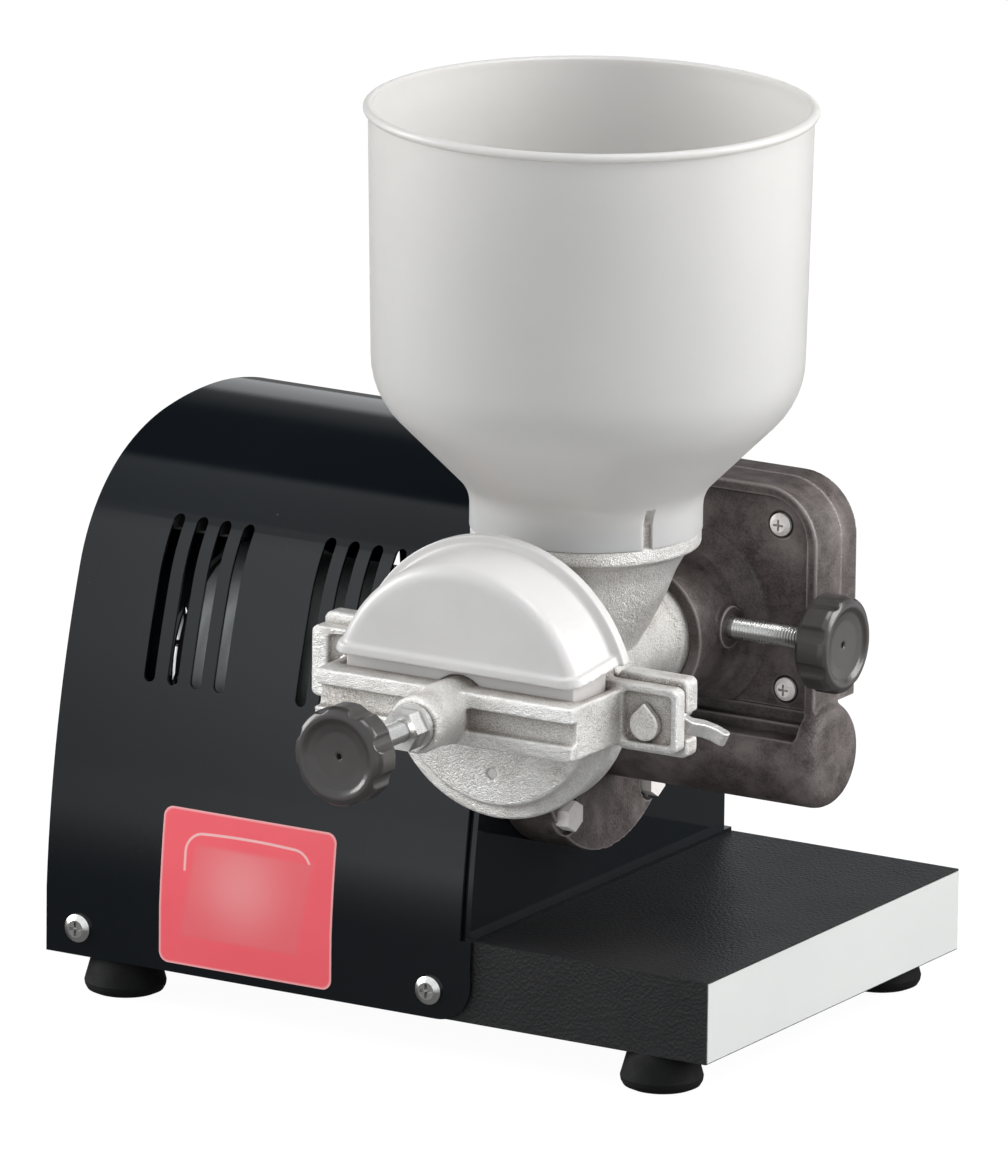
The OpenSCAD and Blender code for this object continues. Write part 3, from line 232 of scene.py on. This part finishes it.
def base_enamel():
    """Black enamel with an orange-peel surface."""
    f = Finish("base_enamel")
    peel = f.grains(1.6)
    fine = f.noise(0.8, 2)
    cloud = f.noise(50)
    return f.surface(
        base_color=f.mix(cloud, (0.010, 0.010, 0.011), (0.018, 0.018, 0.019)),
        roughness=0.3 + cloud * 0.14 + fine * 0.1,
        normal=f.bump(peel + fine * 0.5, 0.4, 0.5))


def strip_film():
    """Pale film with upright scuffs."""
    f = Finish("strip_film")
    cloud = f.noise(60)
    scuff = f.noise(4, 4, where=f.stretched(1, 0.2, 1)).above(0.6, 0.8)
    return f.surface(
        base_color=f.mix(cloud, (0.62, 0.625, 0.615), (0.68, 0.685, 0.675)),
        roughness=0.32 + scuff * 0.2,
        normal=f.bump(f.noise(3), 0.1, 0.3))


def foot_rubber():
    """Matte black rubber with a faint bloom."""
    f = Finish("foot_rubber")
    cloud = f.noise(8, 4)
    bloom = f.noise(20).above(0.5, 0.75)
    return f.surface(
        base_color=f.mix(bloom, (0.003, 0.003, 0.003), (0.009, 0.009, 0.008)),
        roughness=0.62 + cloud * 0.25,
        specular_ior_level=0.3,
        normal=f.bump(f.noise(1.2), 0.3, 0.4))


STICKER_X, STICKER_Z = -69.5 * MM, 60.5 * MM
RIM_HALF_X, RIM_HALF_Z, RIM_BEND = 46.6 * MM, 36.6 * MM, 4.5 * MM
RIM_BLUR = 0.6 * MM
PANEL_HALF_X, PANEL_HALF_Z, PANEL_LEAN = 32.5 * MM, 22.5 * MM, 0.165
PANEL_BLUR_IN, PANEL_BLUR_OUT = 2.0 * MM, 1.2 * MM
ARC_HALF, ARC_TOP, ARC_BEND, ARC_DROOP = 34.4 * MM, 27.5 * MM, 9 * MM, 1.2
ARC_WIDTH, ARC_BLUR = 0.9 * MM, 0.6 * MM
ARC_END, ARC_END_BLUR, ARC_RIGHT_END_UP = 7.6 * MM, 0.8 * MM, 13 * MM
GLOW_SIZE = 34 * MM


def sticker_film():
    """Coral film with a bare paler panel, a thin arc above it and a pale outline."""
    f = Finish("sticker_film")
    x, _, z = f.axes()
    across, up = x - STICKER_X, z - STICKER_Z

    over_x = (abs(across) - (RIM_HALF_X - RIM_BEND)).at_least(0)
    over_z = (abs(up) - (RIM_HALF_Z - RIM_BEND)).at_least(0)
    outline = 1 - (RIM_BEND - length(over_x, over_z)).above(-RIM_BLUR, RIM_BLUR)

    out_x = abs(across - up * PANEL_LEAN) - PANEL_HALF_X
    out_z = abs(up + MM) - PANEL_HALF_Z
    panel = 1 - out_x.at_least(out_z).above(-PANEL_BLUR_IN, PANEL_BLUR_OUT)

    arc_x = (abs(across) - (ARC_HALF - ARC_BEND)).at_least(0)
    arc_z = (up + across * across * ARC_DROOP - (ARC_TOP - ARC_BEND)).at_least(0)
    off_arc = abs(length(arc_x, arc_z) - ARC_BEND)
    right_end = up - across.above(0, 10 * MM) * ARC_RIGHT_END_UP
    ends = (up.above(ARC_END, ARC_END + ARC_END_BLUR)
            * right_end.above(ARC_END, ARC_END + ARC_END_BLUR))
    arc = (ARC_WIDTH - off_arc).above(0, ARC_BLUR) * ends

    from_glow = length(across + 3 * MM, up - 4 * MM)
    red = f.mix(f.noise(30), (0.90, 0.105, 0.135), (0.95, 0.130, 0.158))
    pale = f.mix(from_glow.above(0, GLOW_SIZE), (0.88, 0.31, 0.32), (0.85, 0.15, 0.17))
    shade = f.mix(panel * 0.8, red, pale)
    return f.surface(
        base_color=f.mix((arc * 0.8).at_least(outline * 0.6), shade, (0.92, 0.62, 0.61)),
        roughness=0.34 + f.noise(10) * 0.12,
        normal=f.bump(f.noise(4), 0.08, 0.3))


def tinned_casting(name, depth, reach):
    """Sand-cast iron under bright tin, darkened to warm brown in its corners, gaps and channels
    as painted shade.
    """
    f = Finish(name)
    sand = f.noise(0.6, 2, 0.6)
    lumps = f.noise(2.4, 4, 0.6)
    cloud = f.noise(18, 4)
    # Painted shade: ambient occlusion and inner corners darken the tin towards warm brown, and
    # the sand pits show more strongly there.
    nook = f.nooks(reach, high=0.95)
    painted_shade = (nook * (0.6 + cloud * 0.7) + f.hollows() * 0.35).at_most(1)
    pits = sand.above(0.46, 0.62) * (0.3 + painted_shade * 0.8 + cloud.above(0.5, 0.7) * 0.4)
    bright = f.mix(cloud.above(0.35, 0.7), (0.99, 0.985, 0.96), (0.90, 0.875, 0.84))
    pitted = f.mix(pits.at_most(1) * 0.8, bright, (0.33, 0.28, 0.245))
    worn = f.mix(f.edges(0.505, 0.54) * (1 - painted_shade) * 0.7, pitted, (0.97, 0.965, 0.95))
    return f.surface(
        # The painted shade pulls the colour to warm dark brown in corners, gaps and channels.
        base_color=f.mix(painted_shade * 0.72, worn, (0.20, 0.15, 0.12)),
        metallic=0.8,
        roughness=0.3 + cloud * 0.1 + pits * 0.12 + painted_shade * 0.2,
        normal=f.bump(sand + lumps * 1.6, depth, 0.85))


MILL_X, MILL_Z = 122 * MM, 209.5 * MM
# Painted shade: dark rings in the counterbores of the front plate's screws, and a dark line in
# the gap round the plate.
COVER_SCREWS = ((-52, 50.5), (52, 50.5), (-56, -27.5), (56, -27.5))
RING_INNER, RING_OUTER = 6.3 * MM, 6.9 * MM
PLATE_MIDDLE_X, PLATE_FLAT_HALF = 124.75 * MM, 44.75 * MM
PLATE_BEND_Z, PLATE_BEND = 253.1 * MM, 20 * MM
PLATE_BACK, PLATE_FOOT = 43.2 * MM, 175 * MM
GROOVE_WIDTH, GROOVE_FADE = 0.5 * MM, 1.0 * MM


def brown_casting():
    """Mottled brown-grey die casting, with painted shade round the front plate, round the plate's
    screws and in its corners and gaps.
    """
    f = Finish("brown_casting")
    x, y, z = f.axes()
    mottle = f.noise(9, 6, 0.7)
    patch = f.noise(35, 4, 0.6)
    grain = f.noise(1.1, 3, 0.6)
    flow = f.noise(6, 5, where=f.stretched(0.6, 1, 1.6))
    tone = mottle.above(0.3, 0.7) * 0.6 + grain.above(0.35, 0.65) * 0.4
    dark = f.mix(tone, (0.034, 0.026, 0.025), (0.130, 0.107, 0.103))
    worn = f.mix(patch.above(0.45, 0.75) * 0.6, dark, (0.27, 0.235, 0.228))
    rubbed = f.mix(f.edges(0.505, 0.545) * 0.6, worn, (0.42, 0.385, 0.37))

    # Painted shade in the screws' counterbores and in the gap round the front plate, only on the
    # plate's front.
    screw_ring_shade = 0
    for screw_x, screw_z in COVER_SCREWS:
        side, high = x - (MILL_X + screw_x * MM), z - (MILL_Z + screw_z * MM)
        apart = side * side + high * high
        screw_ring_shade = screw_ring_shade + 1 - apart.above(RING_INNER ** 2, RING_OUTER ** 2)
    over_x = (abs(x - PLATE_MIDDLE_X) - PLATE_FLAT_HALF).at_least(0)
    over_z = (z - PLATE_BEND_Z).at_least(0)
    from_edge = abs(length(over_x, over_z) - PLATE_BEND)
    plate_gap_shade = ((1 - from_edge.above(GROOVE_WIDTH, GROOVE_FADE))
              * z.above(PLATE_FOOT - MM, PLATE_FOOT))
    front = (-y).above(PLATE_BACK, PLATE_BACK + 0.3 * MM)
    # Painted shade also darkens inner corners and, through ambient occlusion, gaps and places
    # tucked under other parts.
    painted_shade = (f.hollows() * (0.5 + patch) + f.nooks(20) * 0.6
             + (screw_ring_shade + plate_gap_shade) * front).at_most(1)
    return f.surface(
        base_color=f.mix(painted_shade * 0.85, rubbed, (0.012, 0.010, 0.010)),
        metallic=0.25,
        roughness=0.4 + mottle * 0.18 + painted_shade * 0.2,
        normal=f.bump(flow + grain * 0.8, 0.7, 0.55))


def guard_plastic():
    """Pale grey moulded plastic with a few specks."""
    f = Finish("guard_plastic")
    cloud = f.noise(30)
    speck = f.noise(1.3, 2).above(0.72, 0.8)
    pale = f.mix(cloud, (0.62, 0.60, 0.59), (0.70, 0.685, 0.675))
    return f.surface(
        base_color=f.mix(speck * 0.3, pale, (0.5, 0.5, 0.49)),
        roughness=0.3 + cloud * 0.12,
        coat_weight=0.1,
        normal=f.bump(f.noise(2.2), 0.3, 0.3))


def hopper_plastic():
    """Milky moulded plastic that lets light through."""
    f = Finish("hopper_plastic")
    cloud = f.noise(90)
    draw = f.noise(10, where=f.stretched(1, 1, 0.08))
    return f.surface(
        base_color=f.mix(cloud, (0.575, 0.562, 0.548), (0.63, 0.617, 0.60)),
        roughness=0.3 + draw * 0.12,
        subsurface_weight=0.5,
        subsurface_radius=(1.0, 0.92, 0.82),
        subsurface_scale=15 * MM,
        normal=f.bump(draw, 0.2, 0.15))


def knob_plastic():
    """Charcoal plastic, paler on its rubbed edges."""
    f = Finish("knob_plastic")
    cloud = f.noise(15, 4)
    scuff = f.noise(2, 4).above(0.62, 0.8)
    charcoal = f.mix(cloud, (0.032, 0.028, 0.027), (0.056, 0.050, 0.048))
    return f.surface(
        base_color=f.mix(f.edges() * 0.4 + scuff * 0.1, charcoal, (0.13, 0.125, 0.12)),
        roughness=0.24 + cloud * 0.14,
        coat_weight=0.25,
        normal=f.bump(f.noise(1.2), 0.2, 0.3))


def bright_metal(name, tone, rough=0.22, metal=1.0):
    """Plated or machined metal with fine scratches, stains and painted shade in its recesses."""
    f = Finish(name)
    cloud = f.noise(6, 4)
    scratch = f.noise(0.6)
    stain = f.noise(3, 4).above(0.55, 0.8)
    stain_and_shade_tone = tuple(part * 0.55 for part in tone)
    # Real stains, plus painted shade from ambient occlusion in small recesses such as screw
    # slots.
    stain_and_shade = (f.nooks(2.5, low=0.35) * 0.8).at_least(stain * 0.6)
    return f.surface(
        base_color=f.mix(stain_and_shade, tone, stain_and_shade_tone),
        metallic=metal,
        roughness=rough + cloud * 0.12 + stain * 0.15,
        normal=f.bump(scratch, 0.1, 0.35))


def black_moulding():
    """Black plastic with a fine grain."""
    f = Finish("black_moulding")
    cloud = f.noise(10)
    return f.surface(
        base_color=f.mix(cloud, (0.014, 0.014, 0.015), (0.026, 0.026, 0.027)),
        roughness=0.35 + cloud * 0.15,
        normal=f.bump(f.noise(0.9), 0.1, 0.4))


def motor_steel(name, tone, laminated=False):
    """Cast motor parts, or laminated ones with a ribbed look along the shaft."""
    f = Finish(name)
    cloud = f.noise(20, 4)
    sheet = f.noise(1.2, 1, where=f.stretched(1, 0.01, 0.01)) if laminated else f.noise(2)
    dark = tuple(part * 0.6 for part in tone)
    return f.surface(
        base_color=f.mix((cloud * 0.6 + sheet * 0.4).at_most(1), tone, dark),
        metallic=0.6,
        roughness=0.42 + cloud * 0.2,
        normal=f.bump(sheet, 0.3, 0.5))


def copper_winding():
    """Enamelled copper wires that run along the motor's shaft."""
    f = Finish("copper_winding")
    wires = f.noise(1.4, 2, where=f.stretched(1, 0.12, 0.12))
    cloud = f.noise(12)
    return f.surface(
        base_color=f.mix(wires * 0.7 + cloud * 0.3, (0.42, 0.15, 0.055), (0.2, 0.065, 0.03)),
        metallic=0.5,
        roughness=0.3 + wires * 0.25,
        normal=f.bump(wires, 0.6, 0.6))


def paint(material, *names):
    for name in names:
        slots = nodes[name].data.materials
        slots.clear()
        slots.append(material)


paint(cover_enamel(), "motor_cover", "gearbox_end_plate", "left_end_panel", "fan_shroud")
paint(base_enamel(), "base_tray")
paint(strip_film(), "end_strip")
paint(foot_rubber(), "rubber_feet", "output_seal")
paint(sticker_film(), "front_sticker")
paint(tinned_casting("tinned_casting", depth=0.8, reach=18), "mill_body", "yoke", "auger_shaft")
paint(tinned_casting("clamp_casting", depth=0.3, reach=6), "clamp_bolts", "left_wing_nut",
      "right_wing_nut")
paint(brown_casting(), "gearbox_housing", "gearbox_back_cover", "gearbox_front_cover")
paint(guard_plastic(), "flour_guard")
paint(hopper_plastic(), "hopper")
paint(knob_plastic(), "lock_knob", "adjusting_knob")
paint(bright_metal("zinc_plate", (0.78, 0.775, 0.76)), "foot_screws", "cover_screws",
      "fan_guard_screws", "motor_tie_bolts", "capacitor_clip", "disc_screws", "left_washer",
      "right_washer", "lock_screw", "adjusting_screw", "lock_nut")
paint(bright_metal("aged_zinc", (0.97, 0.92, 0.89), rough=0.36, metal=0.1),
      "gearbox_cover_screws", "flange_bolts")
paint(bright_metal("guard_wire", (0.5, 0.5, 0.52), rough=0.3), "fan_guard")
paint(bright_metal("turned_steel", (0.6, 0.61, 0.63), rough=0.25), "worm_shaft",
      "output_shaft", "front_motor_bearing", "rear_motor_bearing", "worm_end_bearing",
      "wheel_bearings", "thrust_ball")
paint(bright_metal("wheel_bronze", (0.62, 0.42, 0.18), rough=0.28), "worm_wheel", "barrel_bush")
paint(black_moulding(), "switch_housing", "rocker_switch", "cord_inlet", "cooling_fan",
      "run_capacitor")
paint(motor_steel("stator_steel", (0.34, 0.36, 0.35), laminated=True), "stator_core",
      "rotor_core")
paint(motor_steel("bell_alloy", (0.5, 0.52, 0.53)), "front_end_bell", "rear_end_bell")
paint(motor_steel("disc_iron", (0.4, 0.4, 0.4)), "rotating_disc", "fixed_disc")
paint(copper_winding(), "stator_winding")

# ---------------------------------------------------------------- moulded and cast edges

ROLLED_ANGLE = 20
WELD_DISTANCE = 0.002 * MM


def soften(*names, grid, rounds):
    """Gives castings and mouldings the rounded edges that their moulds leave.

    The mesh is made again on a grid of so many millimetres, then smoothed for so many rounds.
    """
    for name in names:
        even = nodes[name].modifiers.new("even_mesh", "REMESH")
        even.mode = "VOXEL"
        even.voxel_size = grid * MM
        even.use_smooth_shade = True
        rounded = nodes[name].modifiers.new("rounded_edges", "SMOOTH")
        rounded.factor = 0.5
        rounded.iterations = rounds


def rolled(*names):
    """Shades folded or moulded sheet as one smooth curve between its sharp edges."""
    group = bpy.data.node_groups.new("rolled_sheet", "GeometryNodeTree")
    group.interface.new_socket("Geometry", in_out="INPUT", socket_type="NodeSocketGeometry")
    group.interface.new_socket("Geometry", in_out="OUTPUT", socket_type="NodeSocketGeometry")
    add, link = group.nodes.new, group.links.new
    start, end = add("NodeGroupInput"), add("NodeGroupOutput")
    plain = add("GeometryNodeRemoveAttribute")
    plain.inputs["Name"].default_value = "custom_normal"
    weld = add("GeometryNodeMergeByDistance")
    weld.inputs["Distance"].default_value = WELD_DISTANCE
    faces, edges = add("GeometryNodeSetShadeSmooth"), add("GeometryNodeSetShadeSmooth")
    faces.domain, edges.domain = "FACE", "EDGE"
    angle, gentle = add("GeometryNodeInputMeshEdgeAngle"), add("FunctionNodeCompare")
    gentle.operation = "LESS_THAN"
    gentle.inputs["B"].default_value = math.radians(ROLLED_ANGLE)
    link(angle.outputs["Unsigned Angle"], gentle.inputs["A"])
    link(gentle.outputs["Result"], edges.inputs["Shade Smooth"])
    chain = (start, plain, weld, faces, edges, end)
    for first, second in zip(chain, chain[1:]):
        link(first.outputs[0], second.inputs[0])
    for name in names:
        nodes[name].modifiers.new("rolled_sheet", "NODES").node_group = group


rolled("motor_cover", "front_sticker", "gearbox_end_plate", "left_end_panel", "hopper")
soften("mill_body", "yoke", grid=0.85, rounds=7)
soften("gearbox_housing", "gearbox_back_cover", grid=0.8, rounds=4)
soften("gearbox_front_cover", grid=0.6, rounds=4)
soften("lock_knob", "adjusting_knob", grid=0.5, rounds=5)
soften("left_wing_nut", "right_wing_nut", "clamp_bolts", grid=0.4, rounds=8)
soften("flour_guard", grid=0.65, rounds=4)

# ---------------------------------------------------------------- floor and light

FLOOR_HALF = 30.0
FLOOR_TONE = (0.5, 0.5, 0.5)
FLOOR_SEEN_GLOW, FLOOR_GLOW_SHARE = 1.12, 0.86
# The brightest that floor and sky get. The shade of each place is a share of it, in the colour.
FLOOR_GLOW_LIMIT, SKY_LIMIT = 1.25, 1.1


def make_floor():
    """A white floor. What the eye sees of it is brighter than what it throws on the mill."""
    f = Finish("floor")
    path = f.add("ShaderNodeLightPath", {}, {})
    x, y, _ = f.axes()
    # Glossy pieces mirror a floor that is bright in front and behind on the right.
    in_front = (-y).above(0.35, 1.5) * (1 - 0.35 * (-x).above(0.3, 0.9))
    behind_right = x.above(0.25, 0.7) * y.above(-0.1, 0.3)
    mirrored = 0.15 + 1.1 * in_front + 0.8 * behind_right
    share = (path["Is Camera Ray"] * FLOOR_GLOW_SHARE + path["Is Glossy Ray"]).at_most(1)
    level = FLOOR_SEEN_GLOW - path["Is Glossy Ray"] * (FLOOR_SEEN_GLOW - mirrored)
    glow = f.add("ShaderNodeEmission", {}, {
        "Color": f.mix(level * (1 / FLOOR_GLOW_LIMIT), BLACK, WHITE),
        "Strength": FLOOR_GLOW_LIMIT})
    pale = f.add("ShaderNodeBsdfDiffuse", {}, {"Color": FLOOR_TONE})
    both = f.add("ShaderNodeMixShader", {}, {0: share})
    f.tree.links.new(pale.node.outputs[0], both.node.inputs[1])
    f.tree.links.new(glow.node.outputs[0], both.node.inputs[2])
    f.tree.links.new(both.node.outputs[0], f.output.inputs[0])

    mesh = bpy.data.meshes.new("floor")
    corners = [(right * FLOOR_HALF, away * FLOOR_HALF, 0)
               for right, away in ((-1, -1), (1, -1), (1, 1), (-1, 1))]
    mesh.from_pydata(corners, [], [(0, 1, 2, 3)])
    mesh.materials.append(f.data)
    floor = bpy.data.objects.new("floor", mesh)
    bpy.context.scene.collection.objects.link(floor)


def make_lamp(name, place, aim, size, watts):
    lamp = bpy.data.objects.new(name, bpy.data.lights.new(name, "AREA"))
    lamp.data.shape = "RECTANGLE"
    lamp.data.size, lamp.data.size_y = size
    lamp.data.energy = watts
    lamp.location = place
    lamp.rotation_euler = (Vector(aim) - Vector(place)).to_track_quat("-Z", "Y").to_euler()
    bpy.context.scene.collection.objects.link(lamp)


def make_studio():
    """A room that is pale in front, grey above and dark behind, with a grey strip low down there.

    Three soft lamps light it.
    """
    f = Finish("studio", world=True)
    _, y, z = f.axes()
    all_but_behind = 0.42 * (-y).above(-0.22, -0.1)
    front = 0.62 * (-y).above(0.36, 0.58) * (0.6 + 0.4 * z.above(0, 0.22))
    behind = 0.1 * y.above(0.7, 0.8) + 0.5 * y.above(0.77, 0.82) * (1 - z.above(0.24, 0.32))
    level = 0.015 + all_but_behind + front + behind
    sky = f.add("ShaderNodeBackground", {}, {
        "Color": f.mix(level * (1 / SKY_LIMIT), BLACK, (0.95, 0.98, 1.0)),
        "Strength": SKY_LIMIT})
    f.tree.links.new(sky.node.outputs[0], f.output.inputs[0])
    bpy.context.scene.world = f.data
    make_lamp("left_lamp", (-2.3, -0.8, 1.0), aim=(0, -0.05, 0.25), size=(1.0, 1.6), watts=44)
    make_lamp("right_lamp", (2.0, 0.85, 1.2), aim=(0.05, -0.05, 0.25), size=(1.2, 1.6), watts=54)
    make_lamp("top_lamp", (0.9, -0.3, 2.5), aim=(0.05, -0.05, 0.2), size=(1.0, 1.0), watts=18)


make_floor()
make_studio()
bpy.context.scene.view_settings.view_transform = "Standard"
